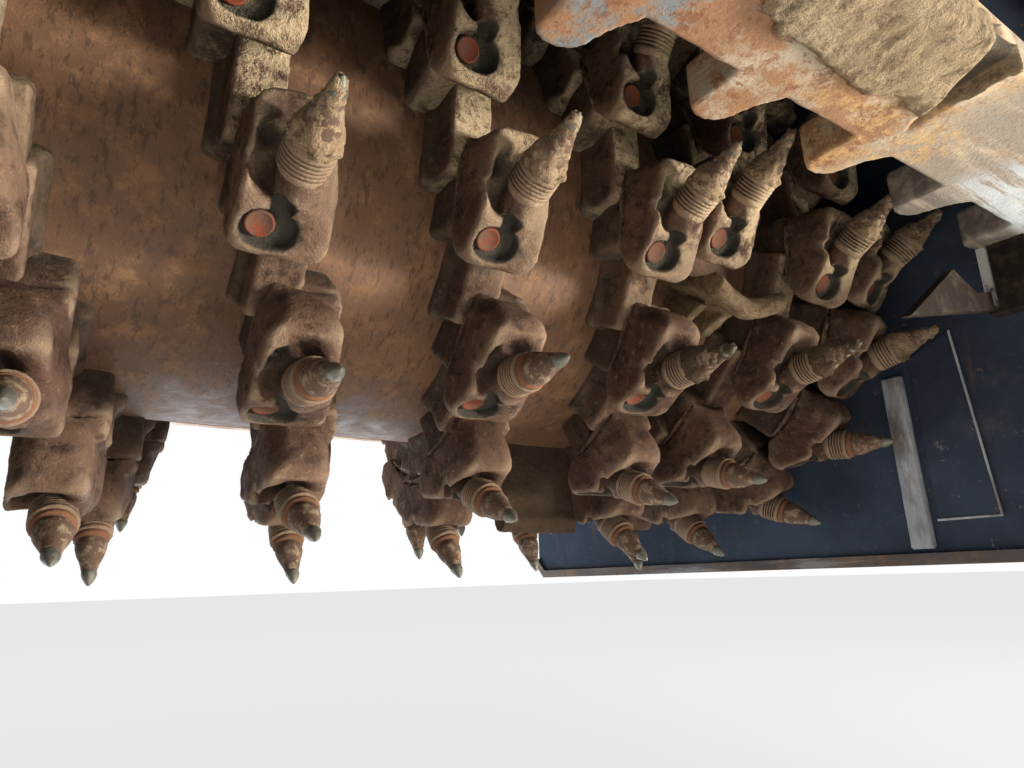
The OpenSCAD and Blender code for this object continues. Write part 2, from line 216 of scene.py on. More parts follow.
def crossing_quads(inside, numbers):
    """One quad for every grid edge that the surface crosses, between the four cells round the edge."""
    faces = []
    for axis in range(3):
        u, v = (axis + 1) % 3, (axis + 2) % 3
        inner = [slice(1, n - 1) for n in inside.shape]
        lower, upper = list(inner), list(inner)
        lower[axis] = slice(0, inside.shape[axis] - 1)
        upper[axis] = slice(1, inside.shape[axis])
        first, last = inside[tuple(lower)], inside[tuple(upper)]
        for leaving in (True, False):
            spots = np.argwhere((first != last) & (first == leaving))
            for i in (u, v):
                spots[:, i] += 1
            ring = []
            for du, dv in ((1, 1), (0, 1), (0, 0), (1, 0)):
                cell = spots.copy()
                cell[:, u] -= du
                cell[:, v] -= dv
                ring.append(numbers[cell[:, 0], cell[:, 1], cell[:, 2]])
            quad = np.stack(ring, axis=1)
            faces.append(quad if leaving else quad[:, ::-1])
    return np.concatenate(faces)


def cut_piece(name, field, low, high, step, share):
    """The surface where a field is zero, as a smooth object with a share of its triangles."""
    axes = [np.arange(a, b + step, step) for a, b in zip(low, high)]
    points = np.stack(np.meshgrid(*axes, indexing="ij"), axis=-1).reshape(-1, 3)
    values = field(points).reshape([len(a) for a in axes])
    numbers, places = crossed_cells(values)
    vertices = (np.array(low) + step * places) * MM
    mesh = bpy.data.meshes.new(name)
    mesh.from_pydata(vertices.tolist(), [], crossing_quads(values < 0, numbers).tolist())
    mesh.update()
    obj = link(name + "_raw", mesh)
    obj.modifiers.new("thin", "DECIMATE").ratio = share
    return finished(obj, name)


# Meshes and objects.


def link(name, data):
    """A new object in the scene."""
    obj = bpy.data.objects.new(name, data)
    bpy.context.scene.collection.objects.link(obj)
    return obj


def discard(*objects):
    """Removes helper objects."""
    for obj in objects:
        bpy.data.objects.remove(obj)


def shade(mesh, smooth):
    """Shades every face of a mesh smooth or flat."""
    mesh.polygons.foreach_set("use_smooth", [smooth] * len(mesh.polygons))


def finished(obj, name):
    """Applies an object's modifiers and gives a plain smooth mesh at the origin."""
    graph = bpy.context.evaluated_depsgraph_get()
    shown = obj.evaluated_get(graph)
    mesh = bpy.data.meshes.new_from_object(shown, preserve_all_data_layers=True, depsgraph=graph)
    made = link(name, mesh)
    shade(mesh, True)
    discard(obj)
    return made


def mark(mesh, name, rule):
    """Stores a value for every vertex, from a rule on its place in mm."""
    spots = np.array([v.co for v in mesh.vertices]) / MM
    layer = mesh.attributes.new(name, "FLOAT", "POINT")
    layer.data.foreach_set("value", rule(spots).astype(np.float32))


def lathe(profile, segments, name, start, line):
    """A turned mesh: profile rows are (distance along the line, radius), in mm from the start point."""
    line = np.array(line, float)
    side = np.array([1.0, 0, 0])
    other = np.cross(line, side)
    ring = np.linspace(0, 2 * math.pi, segments, endpoint=False)
    vertices, faces = [], []
    for along, radius in profile:
        for angle in ring:
            spoke = math.cos(angle) * side + math.sin(angle) * other
            point = np.array(start) + line * along + radius * spoke
            vertices.append(tuple(point * MM))
    for row in range(len(profile) - 1):
        this, following = row * segments, (row + 1) * segments
        for i in range(segments):
            j = (i + 1) % segments
            faces.append((this + i, this + j, following + j, following + i))
    faces.append(tuple(range(segments))[::-1])
    faces.append(tuple((len(profile) - 1) * segments + i for i in range(segments)))
    mesh = bpy.data.meshes.new(name)
    mesh.from_pydata(vertices, [], faces)
    tidy_mesh(mesh)
    return mesh


def tidy_mesh(mesh):
    """Merges doubles and turns the faces outward."""
    shape = bmesh.new()
    shape.from_mesh(mesh)
    bmesh.ops.remove_doubles(shape, verts=shape.verts, dist=1e-6)
    bmesh.ops.recalc_face_normals(shape, faces=shape.faces)
    shape.to_mesh(mesh)
    shape.free()


def joined(name, meshes):
    """One mesh from several, each with its matrix."""
    shape = bmesh.new()
    for mesh, matrix in meshes:
        part = mesh.copy()
        part.transform(matrix)
        shape.from_mesh(part)
        bpy.data.meshes.remove(part)
    made = bpy.data.meshes.new(name)
    shape.to_mesh(made)
    shape.free()
    return made


def feed(tree, node, inputs):
    """Gives a node's inputs their values or other nodes' outputs."""
    for key, value in inputs.items():
        if isinstance(value, bpy.types.NodeSocket):
            tree.links.new(value, node.inputs[key])
        else:
            node.inputs[key].default_value = value


def add_node(tree, kind, inputs=None, **settings):
    """Adds a node to a tree and gives its outputs."""
    node = tree.nodes.new(kind)
    for name, value in settings.items():
        setattr(node, name, value)
    feed(tree, node, inputs or {})
    return node.outputs


def calculate(tree, operation, *values):
    """The result of a Math node on outputs or plain numbers."""
    return add_node(tree, "ShaderNodeMath", dict(enumerate(values)), operation=operation)[0]


def instance_tree(name):
    """Puts one mesh on every point, turned by the point's own turn, and dents the whole a little."""
    tree = bpy.data.node_groups.new(name, "GeometryNodeTree")
    tree.interface.new_socket("Geometry", in_out="INPUT", socket_type="NodeSocketGeometry")
    for label, kind in (("Piece", "NodeSocketObject"), ("Dent depth", "NodeSocketFloat"),
                        ("Dent size", "NodeSocketFloat"), ("Finish", "NodeSocketMaterial")):
        tree.interface.new_socket(label, in_out="INPUT", socket_type=kind)
    tree.interface.new_socket("Geometry", in_out="OUTPUT", socket_type="NodeSocketGeometry")
    given = add_node(tree, "NodeGroupInput")
    piece = add_node(tree, "GeometryNodeObjectInfo", {"Object": given["Piece"]})
    turn = add_node(tree, "GeometryNodeInputNamedAttribute", {"Name": "turn"}, data_type="FLOAT_VECTOR")
    rotation = add_node(tree, "FunctionNodeEulerToRotation", {"Euler": turn["Attribute"]})
    place = add_node(tree, "GeometryNodeInstanceOnPoints", {
        "Points": given["Geometry"], "Instance": piece["Geometry"], "Rotation": rotation["Rotation"]})
    real = add_node(tree, "GeometryNodeRealizeInstances", {"Geometry": place["Instances"]})
    position = add_node(tree, "GeometryNodeInputPosition")["Position"]
    normal = add_node(tree, "GeometryNodeInputNormal")["Normal"]
    relief = add_node(tree, "ShaderNodeTexNoise", {
        "Vector": position, "Scale": given["Dent size"], "Detail": 3})
    depth = calculate(tree, "MULTIPLY", calculate(tree, "SUBTRACT", relief[0], 0.5), given["Dent depth"])
    push = add_node(tree, "ShaderNodeVectorMath", {0: normal, "Scale": depth}, operation="SCALE")
    moved = add_node(tree, "GeometryNodeSetPosition", {
        "Geometry": real["Geometry"], "Offset": push["Vector"]})
    finish = add_node(tree, "GeometryNodeSetMaterial", {
        "Geometry": moved["Geometry"], "Material": given["Finish"]})
    add_node(tree, "NodeGroupOutput", {"Geometry": finish["Geometry"]})
    return tree


INSTANCES = instance_tree("place_on_drum")


def placed(name, piece, matrices, finish, depth=0.0, size=20.0):
    """One plain mesh with a copy of the piece at every matrix."""
    points = bpy.data.meshes.new(name + "_points")
    points.from_pydata([tuple(m.translation) for m in matrices], [], [])
    turn = points.attributes.new("turn", "FLOAT_VECTOR", "POINT")
    turn.data.foreach_set("vector", [a for m in matrices for a in m.to_euler()])
    obj = link(name + "_points", points)
    modifier = obj.modifiers.new("place", "NODES")
    modifier.node_group = INSTANCES
    values = {"Piece": piece, "Dent depth": depth, "Dent size": size, "Finish": finish}
    for socket in INSTANCES.interface.items_tree:
        if socket.in_out == "INPUT" and socket.name in values:
            modifier[socket.identifier] = values[socket.name]
    return finished(obj, name)


# The cast holder that carries a pick: welded foot, clamped upper part with a hood, recess and sleeve.
# FOOT and UPPER are seen from the side, PLAN from outside and PLAN_ROUNDING inside the upper part's rim.
FOOT = [(-80, 280), (-83, 336), (-76, 366), (6, 366), (14, 340), (14, 280)]
SLOPE_LOW = (-119, 381)
SLOPE_HIGH = (-70, 415)
UPPER = [(-83, 346), (-113, 360), (-121, 370), SLOPE_LOW, SLOPE_HIGH, (-52, 421), (-4, 421), (6, 412),
         (12, 392), (15, 370), (9, 350)]
PLAN = [(-19, -101), (-19, -16), (-12, -9), (2, -8), (7, -30), (18, -66), (19, -101)]
PLAN_ROUNDING = 22.0
SLOPE = math.atan2(SLOPE_HIGH[1] - SLOPE_LOW[1], SLOPE_HIGH[0] - SLOPE_LOW[0])
SLOPE_LINE = np.array([0.0, math.cos(SLOPE), math.sin(SLOPE)])
SLOPE_OUT = np.array([0.0, -math.sin(SLOPE), math.cos(SLOPE)])
RECESS_MIDDLE = np.array([-12.0, -100.0, 394.2])
RECESS_DEPTH = 11.0
RECESS_HALF_ACROSS = 23.0
RECESS_HALF_ALONG = 17.0
RECESS_POWER = 2.4


def recess_field(points):
    """The oval hollow for the cap, with a keyhole notch at its upper side."""
    offset = points - RECESS_MIDDLE
    across, along, out = offset[:, 0], offset @ SLOPE_LINE, offset @ SLOPE_OUT
    oval = (np.abs(across) / RECESS_HALF_ACROSS) ** RECESS_POWER
    oval = oval + (np.abs(along + 3) / RECESS_HALF_ALONG) ** RECESS_POWER
    oval = (oval + 1e-9) ** (1 / RECESS_POWER) * 19 - 19
    notch = np.hypot(across - 5, along - 19) - 9
    return np.maximum(np.minimum(oval, notch), -out - RECESS_DEPTH)


def side_hollow(points):
    """The wide dish at the left of the sleeve's root, with a deep pit at its upper end."""
    dish = ellipsoid(points, (-19, -57, 417), (20, 25, 22))
    pit = ellipsoid(points, (-25, -33, 424), (10, 12, 30))
    return soft_join(dish, pit, 8)


def holder_field(points):
    """The whole holder without the rings of its sleeve."""
    x, y, z = points.T
    foot = slab(outline_distance(y, z, FOOT), x, 35, 8)
    side = slab(outline_distance(y, z, UPPER), x + 1.5, 43.5, 8)
    upper = soft_cut(side, PLAN_ROUNDING - outline_distance(x, y, PLAN), 6)
    seam = np.abs(np.hypot(y + 34, z - 250) - 108) - 1.0
    body = soft_cut(soft_join(foot, upper, 3), np.maximum(seam, -upper - 5), 2)
    right_flank = 0.857 * (x - 40) + 0.514 * (z - 395)
    body = soft_cut(body, -right_flank, 8)
    hood_hollow = ellipsoid(points, (-9, -27, 441), (21, 21, 36))
    body = soft_cut(body, hood_hollow, 7)
    root = ellipsoid(points, SEAT + np.array([3, 0, 0]) - PICK_LINE * 48, (26, 24, 25))
    body = soft_join(body, root, 6)
    body = soft_cut(body, side_hollow(points), 6)
    sleeve = rod(points, SEAT + np.array([5, 0, 0]) - PICK_LINE * 60, SEAT - PICK_LINE * 3, 20.0)
    body = soft_join(body, sleeve, 4)
    body = soft_cut(body, recess_field(points), 1.6)
    return body + 0.9 * lumps(points, 48, 4) + 0.5 * lumps(points, 16, 5)


def holder_dirt_and_shade(points):
    """How much dark dirt and painted shade lies at each point: full in the recess, some in the side hollow
    and low down.
    """
    recess = np.clip(1 - recess_field(points) / 3, 0, 1)
    hollow = np.clip(1 - side_hollow(points) / 4, 0, 1) * np.clip((points[:, 1] + 62) / 24, 0, 1)
    low = np.clip((372 - points[:, 2]) / 60, 0, 1)
    return np.maximum(np.maximum(recess, 0.6 * hollow), 0.6 * low)


# Turned pieces. Columns: distance from the pick's seat along its line, or for the cap from its foot, radius.
SLEEVE_PROFILE = [(-32, 18), (-28, 20.6)]
for groove in range(5):
    at = -23 + groove * 4.0
    SLEEVE_PROFILE += [(at, 21.2), (at + 0.5, 19.9), (at + 1.5, 19.8), (at + 2.0, 21.1)]
SLEEVE_PROFILE += [(-1.4, 21.2), (-0.3, 20.4), (-0.2, 14)]

PICK_PROFILE = [(-0.2, 10), (0, 17.6), (0.8, 18.6), (4.6, 18.8), (5.6, 17.6), (6.2, 15.2), (8, 15.0),
                (11, 16.8), (17, 16.2), (24, 14.4), (31, 11.8), (37, 9.8), (42, 8.6), (44.6, 7.6), (45, 7.0),
                (45.6, 8.0), (48, 8.1), (52, 6.9), (56, 5.0), (59.4, 3.0), (61.4, 1.3), (62, 0.3)]
CRUST_PROFILE = [(-3, 20.4), (2, 21.6), (8, 21.0), (14, 18.6), (20, 15.4), (27, 12.4), (35, 10.0),
                 (44, 8.6), (52, 7.4), (57, 5.0)]
CAP_PROFILE = [(-2, 12.2), (4, 12.2), (5.2, 11.6), (5.6, 10.4), (4.8, 9.6), (4.8, 0.5)]
CAP_FOOT = RECESS_MIDDLE + np.array([-7.0, 0, 0]) - SLOPE_OUT * RECESS_DEPTH - SLOPE_LINE * 1.5


def crust_field(points):
    """Dirt that is caked round a pick, from its ring up to its tip."""
    offset = points - SEAT
    along = offset @ PICK_LINE
    across = np.linalg.norm(offset - np.outer(along, PICK_LINE), axis=1)
    reach = np.interp(along, [a for a, r in CRUST_PROFILE], [r for a, r in CRUST_PROFILE])
    ends = np.maximum(-1 - along, along - 58)
    return np.maximum(across - reach, ends) + 2.3 * lumps(points, 20, 12) + 2.0 * lumps(points, 8, 13)


def web_field(points):
    """The welded web between two holders, with a weld bead along each foot."""
    web = block(points, (-3, 0, 300), (23, 64, 48), 4)
    foot = block(points, (-3, 0, 292), (31, 64, 12), 3)
    return soft_join(web, foot, 16) + 0.8 * lumps(points, 30, 8)


# Finishes. Every one reads the object's own coordinates.


class Finish:
    """A small helper that builds one node material step by step."""

    def __init__(self, name, metal, rough, shine=0.3):
        self.material = bpy.data.materials.new(name)
        self.material.use_nodes = True
        self.tree = self.material.node_tree
        self.feed({"Metallic": metal, "Roughness": rough, "Specular IOR Level": shine})
        self.place = self.node("ShaderNodeTexCoord")["Object"]
        self.axes = self.node("ShaderNodeSeparateXYZ", {0: self.place})
        self.colour = None
        self.height = None

    def feed(self, inputs):
        """Sets inputs of the material's shader."""
        feed(self.tree, self.tree.nodes["Principled BSDF"], inputs)

    def node(self, kind, inputs=None, **settings):
        """Adds a node to the material and gives its outputs."""
        return add_node(self.tree, kind, inputs, **settings)

    def noise(self, scale, detail, rough, stretch=None):
        """Cloudy noise. A stretch below 1 draws it out along that axis."""
        source = self.place
        if stretch:
            source = self.node("ShaderNodeMapping", {"Vector": source, "Scale": stretch})["Vector"]
        levels = {"Vector": source, "Scale": scale, "Detail": detail, "Roughness": rough}
        return self.node("ShaderNodeTexNoise", levels)[0]

    def step(self, value, low, high, low_out=0.0, high_out=1.0):
        """A smooth ramp of a value between two levels."""
        levels = {"Value": value, "From Min": low, "From Max": high, "To Min": low_out, "To Max": high_out}
        return self.node("ShaderNodeMapRange", levels, interpolation_type="SMOOTHSTEP")["Result"]

    def times(self, first, *others):
        """The product of two or more values."""
        for other in others:
            first = calculate(self.tree, "MULTIPLY", first, other)
        return first

    def size(self, value):
        """A value without its sign."""
        return calculate(self.tree, "ABSOLUTE", value)

    def plus(self, a, b):
        """The sum of two values."""
        return calculate(self.tree, "ADD", a, b)

    def facing(self, direction):
        """How far the surface faces a direction of the object, from -1 to 1."""
        normal = self.node("ShaderNodeNewGeometry")["Normal"]
        turned = self.node("ShaderNodeVectorTransform", {0: normal}, vector_type="NORMAL",
                           convert_from="WORLD", convert_to="OBJECT")[0]
        return self.node("ShaderNodeVectorMath", {0: turned, 1: direction}, operation="DOT_PRODUCT")["Value"]

    def edges(self, low, high):
        """Where the surface stands out along its edges, or lies back where high is less than low."""
        return self.step(self.node("ShaderNodeNewGeometry")["Pointiness"], low, high)

    def attribute(self, name):
        """A value that the mesh stores for every vertex."""
        return self.node("ShaderNodeAttribute", attribute_name=name)["Fac"]

    def paint(self, colour, share=None):
        """Lays a colour over what is there, by a share, or as the ground where no share is given."""
        if share is None:
            self.colour = self.node("ShaderNodeRGB")[0]
            self.colour.default_value = (*colour, 1)
        else:
            layers = {0: share, 6: self.colour, 7: (*colour, 1)}
            self.colour = self.node("ShaderNodeMix", layers, data_type="RGBA")[2]

    def stain(self, colour, texture, low, high, most=None):
        """Lays a colour where a texture goes from low to high."""
        share = self.step(texture, low, high)
        self.paint(colour, share if most is None else self.times(share, most))

    def relief(self, value, depth):
        """Adds height, in metres, for the bump."""
        scaled = self.times(value, depth)
        self.height = scaled if self.height is None else self.plus(self.height, scaled)

    def done(self, strength):
        """The finished material, with its bump at a strength."""
        bump = self.node("ShaderNodeBump", {"Strength": strength, "Distance": 1.0, "Height": self.height})
        self.feed({"Base Color": self.colour, "Normal": bump["Normal"]})
        return self.material


def tube_rust():
    """Rust brown skin of the drum tube, mottled, with paler dusty patches and darker stains."""
    f = Finish("tube_rust", 0.0, 0.7, 0.28)
    mottled = f.noise(34, 5, 0.72)
    f.paint((0.150, 0.077, 0.040))
    f.stain((0.088, 0.046, 0.026), f.noise(3.2, 4, 0.6, (0.5, 1, 1)), 0.42, 0.66)
    f.stain((0.245, 0.135, 0.068), mottled, 0.46, 0.68, 0.7)
    f.stain((0.045, 0.025, 0.016), f.noise(150, 4, 0.75, (1, 0.35, 0.35)), 0.52, 0.62, 0.6)
    f.stain((0.250, 0.165, 0.095), f.noise(11, 6, 0.75), 0.58, 0.72, 0.35)
    f.feed({"Roughness": f.step(mottled, 0.3, 0.7, 0.48, 0.75)})
    f.relief(mottled, 0.0018)
    f.relief(f.noise(420, 3, 0.7), 0.0006)
    return f.done(0.8)


def holder_iron():
    """Cast holders: dark red brown. Those high up have a sandy, dusty layer and painted light on the faces
    that turn right, forward and down, toward the key light.
    """
    f = Finish("holder_iron", 0.0, 0.7, 0.07)
    mottled = f.noise(48, 5, 0.7)
    f.paint((0.074, 0.040, 0.028))
    f.stain((0.128, 0.076, 0.050), f.noise(7, 5, 0.6), 0.42, 0.62)
    f.stain((0.034, 0.022, 0.017), mottled, 0.48, 0.66, 0.85)
    f.stain((0.240, 0.150, 0.090), f.noise(95, 5, 0.8), 0.54, 0.66, 0.55)
    upper = f.step(f.axes["Z"], -0.96, -0.74)
    cover = f.step(f.noise(17, 6, 0.75), 0.40, 0.54)
    # Sandy dusty layer with painted light: it lies only on the upper tools' faces that turn toward the key
    # light.
    dust_and_light = f.times(f.step(f.facing((0.72, -0.62, -0.30)), -0.15, 0.50), cover, upper)
    f.paint((0.590, 0.455, 0.275), f.times(dust_and_light, 0.92))
    f.paint((0.240, 0.160, 0.092), f.times(dust_and_light, f.step(f.noise(130, 4, 0.8), 0.52, 0.62)))
    # Painted shade in creases and hollows, where the surface lies back.
    f.paint((0.030, 0.021, 0.016), f.times(f.edges(0.495, 0.44), 0.7))
    f.paint((0.360, 0.255, 0.165), f.times(f.edges(0.51, 0.57), 0.5))
    # Dark dirt together with painted shade, from the stored values: the recess, the side hollow, low down
    # and the webs' feet.
    grime_and_shade = f.times(f.attribute("grime_and_shade"), f.step(mottled, 0.30, 0.60, 0.75, 1.0))
    f.paint((0.040, 0.039, 0.031), f.times(grime_and_shade, 0.95))
    f.feed({"Roughness": f.step(mottled, 0.3, 0.7, 0.55, 0.9)})
    f.relief(mottled, 0.0034)
    f.relief(f.noise(150, 4, 0.75), 0.0022)
    f.relief(f.noise(420, 3, 0.7), 0.0012)
    f.relief(f.times(dust_and_light, f.noise(130, 4, 0.8)), 0.0075)
    return f.done(0.9)


def pick_iron():
    """Picks: an orange rust wear ring, a dusty brown body and a bare grey tip."""
    f = Finish("pick_iron", 0.0, 0.6, 0.12)
    along = f.attribute("along")
    mottled = f.noise(80, 5, 0.75)
    f.paint((0.105, 0.064, 0.044))
    f.paint((0.180, 0.080, 0.042), f.times(f.step(along, 7.0, 6.0), f.step(mottled, 0.30, 0.55)))
    f.paint((0.250, 0.190, 0.125), f.times(f.step(mottled, 0.48, 0.62), f.step(along, 6, 12)))
    f.stain((0.125, 0.125, 0.100), along, 44, 47, 0.85)
    f.feed({"Metallic": f.step(along, 46, 50, 0.0, 0.5)})
    f.feed({"Roughness": f.step(along, 45, 50, 0.8, 0.42)})
    f.relief(mottled, 0.0024)
    f.relief(f.noise(500, 3, 0.7), 0.0006)
    return f.done(0.8)


def caked_dirt(name, pale):
    """Sand coloured dirt, caked round the front picks and, less pale, on the ejector blades."""
    f = Finish(name, 0.0, 0.95, 0.03)
    grain = f.noise(150, 4, 0.8)
    f.paint((0.290 * pale, 0.200 * pale, 0.120 * pale))
    f.stain((0.450 * pale, 0.335 * pale, 0.205 * pale), grain, 0.46, 0.60)
    f.stain((0.100, 0.058, 0.034), f.noise(75, 5, 0.8), 0.52, 0.62, 0.85)
    f.stain((0.062, 0.040, 0.028), f.axes["Z"], -0.90, -0.97, 0.85)
    f.relief(grain, 0.0065)
    f.relief(f.noise(600, 3, 0.7), 0.0010)
    return f.done(1.0)


def cap_plastic():
    """Orange red caps, dusty."""
    f = Finish("cap_orange", 0.0, 0.7, 0.05)
    f.paint((0.165, 0.040, 0.018))
    f.stain((0.100, 0.060, 0.040), f.noise(90, 5, 0.75), 0.42, 0.56, 0.85)
    f.stain((0.075, 0.050, 0.038), f.noise(380, 3, 0.7), 0.54, 0.64, 0.8)
    f.relief(f.noise(300, 3, 0.6), 0.0008)
    return f.done(0.7)


def caked_steel():
    """The comb beam: grey steel, orange rust near its teeth, sandy dirt behind, scraped at the ends, with a
    painted shadow in its pocket.
    """
    f = Finish("caked_steel", 0.0, 0.7, 0.15)
    x, y = f.axes["X"], f.axes["Y"]
    broad = f.noise(5, 5, 0.65)
    patch = f.noise(13, 6, 0.72)
    fine = f.noise(260, 3, 0.75)
    scratch = f.noise(60, 5, 0.6, (0.1, 1, 1))
    f.paint((0.350, 0.285, 0.205))
    f.stain((0.480, 0.375, 0.250), broad, 0.42, 0.58)
    f.paint((0.180, 0.200, 0.200), f.times(f.step(x, 0.12, -0.02), f.step(patch, 0.58, 0.48)))
    rusty = f.step(x, 0.26, 0.36, 1.0, 0.25)
    f.paint((0.250, 0.115, 0.052), f.times(f.step(patch, 0.45, 0.57), rusty, 0.85))
    worn = f.times(f.step(x, 0.27, 0.36), f.step(f.noise(30, 5, 0.7, (0.2, 1, 1)), 0.30, 0.52))
    f.paint((0.215, 0.188, 0.155), f.times(worn, 0.85))
    spot = f.noise(11, 6, 0.78, (0.6, 1.6, 1))
    ochre = f.times(f.step(x, 0.08, 0.24), f.step(x, 0.34, 0.42, 1.0, 0.0))
    grains = f.step(f.noise(60, 5, 0.82), 0.44, 0.56)
    f.paint((0.480, 0.300, 0.120), f.times(ochre, f.step(spot, 0.44, 0.56), grains, 0.8))
    f.paint((0.200, 0.088, 0.044), f.times(f.step(f.noise(42, 5, 0.82), 0.54, 0.60), rusty, 0.8))
    f.stain((0.120, 0.098, 0.080), fine, 0.56, 0.70, 0.5)
    cake = f.attribute("cake")
    f.paint((0.400, 0.300, 0.175), f.times(cake, 0.92))
    f.paint((0.170, 0.120, 0.072), f.times(cake, f.step(f.noise(55, 5, 0.82), 0.50, 0.62), 0.8))
    reach = f.plus(f.size(x), f.times(broad, 0.12))
    band = f.times(f.step(y, -0.560, -0.580), f.step(y, -0.660, -0.630))
    tooth_end = f.times(f.step(reach, 0.34, 0.44), f.step(y, -0.580, -0.555))
    f.paint((0.110, 0.095, 0.078), f.times(tooth_end, f.step(scratch, 0.36, 0.56), 0.85))
    scraped = f.times(f.step(reach, 0.48, 0.56), band, f.step(scratch, 0.40, 0.50))
    f.paint((0.430, 0.460, 0.470), f.times(scraped, 0.9))
    # Painted shadow in the pocket of the caked dirt.
    f.paint((0.070, 0.055, 0.042), f.times(f.attribute("pocket"), 0.9))
    f.feed({"Roughness": f.step(broad, 0.40, 0.56, 0.55, 0.9)})
    f.relief(f.times(cake, f.noise(80, 5, 0.82)), 0.0180)
    f.relief(patch, 0.0020)
    f.relief(fine, 0.0010)
    return f.done(0.9)


def dark_paint():
    """Near black paint of the housing, chipped, dusty, with rust runs."""
    f = Finish("dark_paint", 0.0, 0.6, 0.06)
    fine = f.noise(180, 4, 0.7)
    f.paint((0.026, 0.034, 0.050))
    f.stain((0.0468, 0.0612, 0.0900), f.noise(2.6, 5, 0.6), 0.42, 0.64)
    f.stain((0.090, 0.088, 0.090), f.noise(8, 6, 0.75), 0.54, 0.74, 0.4)
    f.stain((0.150, 0.078, 0.042), f.noise(22, 6, 0.65, (1, 1, 0.12)), 0.60, 0.72, 0.55)
    f.stain((0.200, 0.125, 0.080), f.noise(75, 5, 0.8), 0.64, 0.68, 0.7)
    f.stain((0.170, 0.165, 0.155), f.noise(34, 5, 0.85), 0.64, 0.67, 0.6)
    f.feed({"Roughness": f.step(fine, 0.35, 0.65, 0.55, 0.80)})
    f.relief(f.noise(40, 5, 0.6), 0.0010)
    f.relief(fine, 0.0004)
    return f.done(0.7)


def worn_plate():
    """The moldboard's edge and the beam's arms: steel worn bright in places, rust in patches."""
    f = Finish("worn_plate", 0.1, 0.6)
    scrape = f.noise(30, 5, 0.6, (0.15, 1, 1))
    f.paint((0.240, 0.175, 0.120))
    f.stain((0.150, 0.080, 0.045), f.noise(9, 6, 0.7), 0.44, 0.58)
    f.stain((0.420, 0.400, 0.370), scrape, 0.54, 0.66, 0.7)
    f.stain((0.370, 0.300, 0.200), f.noise(20, 6, 0.75), 0.56, 0.68, 0.6)
    f.feed({"Roughness": f.step(scrape, 0.4, 0.7, 0.75, 0.35)})
    f.relief(f.noise(60, 5, 0.75), 0.0022)
    f.relief(f.noise(300, 3, 0.7), 0.0006)
    return f.done(0.8)


def skid_steel():
    """Skids and bolts: dark rusted steel, scraped along the travel direction."""
    f = Finish("skid_steel", 0.1, 0.6)
    scrape = f.noise(30, 5, 0.6, (1, 0.12, 1))
    f.paint((0.070, 0.058, 0.052))
    f.stain((0.130, 0.080, 0.050), f.noise(11, 6, 0.7), 0.46, 0.60)
    f.stain((0.230, 0.220, 0.205), scrape, 0.55, 0.66, 0.7)
    f.feed({"Roughness": f.step(scrape, 0.4, 0.7, 0.75, 0.42)})
    f.relief(f.noise(60, 5, 0.75), 0.0020)
    return f.done(0.8)


def strip_steel():
    """Wear strips and cover rims on the side plates: dull blue grey steel with brown stains."""
    f = Finish("strip_steel", 0.0, 0.6)
    f.paint((0.270, 0.280, 0.300))
    f.stain((0.370, 0.380, 0.395), f.noise(40, 5, 0.7, (1, 1, 0.2)), 0.46, 0.62)
    f.stain((0.095, 0.070, 0.052), f.noise(12, 6, 0.7, (1, 1, 0.3)), 0.48, 0.62, 0.8)
    f.relief(f.noise(80, 5, 0.7), 0.0016)
    return f.done(0.7)


def hanger_steel():
    """The comb beam's hangers and tongues: dull brown steel, painted darker as shade, scraped pale along the
    hangers' rear edge.
    """
    f = Finish("hanger_steel", 0.0, 0.9, 0.03)
    mottled = f.noise(40, 5, 0.7)
    # Very dark brown: the steel's own colour, darkened further as painted shade.
    f.paint((0.020, 0.015, 0.012))
    f.stain((0.045, 0.033, 0.024), mottled, 0.46, 0.66)
    ends = f.step(f.size(f.axes["X"]), 0.632, 0.636)
    rear = f.times(f.step(f.axes["Y"], -0.528, -0.524), f.step(f.axes["Z"], -0.908, -0.902))
    f.paint((0.480, 0.480, 0.460), f.times(ends, rear, f.step(mottled, 0.66, 0.46)))
    f.relief(mottled, 0.0022)
    return f.done(0.8)


def rod_steel():
    """Bright rods and pipes, with fine turning marks and dirty stains."""
    f = Finish("rod_steel", 1.0, 0.3)
    f.paint((0.560, 0.560, 0.550))
    f.stain((0.330, 0.310, 0.280), f.noise(14, 6, 0.7), 0.50, 0.66, 0.5)
    f.feed({"Roughness": f.step(f.noise(40, 5, 0.6), 0.35, 0.7, 0.22, 0.55)})
    f.relief(f.noise(30, 3, 0.5, (1, 1, 30)), 0.0002)
    return f.done(0.5)


def hub_iron():
    """Inside of the drum: dusty dark iron."""
    f = Finish("hub_iron", 0.0, 0.75)
    f.paint((0.120, 0.082, 0.058))
    f.stain((0.255, 0.190, 0.130), f.noise(8, 6, 0.7), 0.45, 0.65)
    f.stain((0.060, 0.045, 0.038), f.noise(50, 5, 0.7), 0.52, 0.66, 0.7)
    f.relief(f.noise(70, 5, 0.7), 0.0018)
    return f.done(0.8)


HOLDER_IRON = holder_iron()
PICK_IRON = pick_iron()
PICK_DIRT = caked_dirt("pick_dirt", 1.0)
CAP_PLASTIC = cap_plastic()
DARK_PAINT = dark_paint()
SKID_STEEL = skid_steel()
STRIP_STEEL = strip_steel()

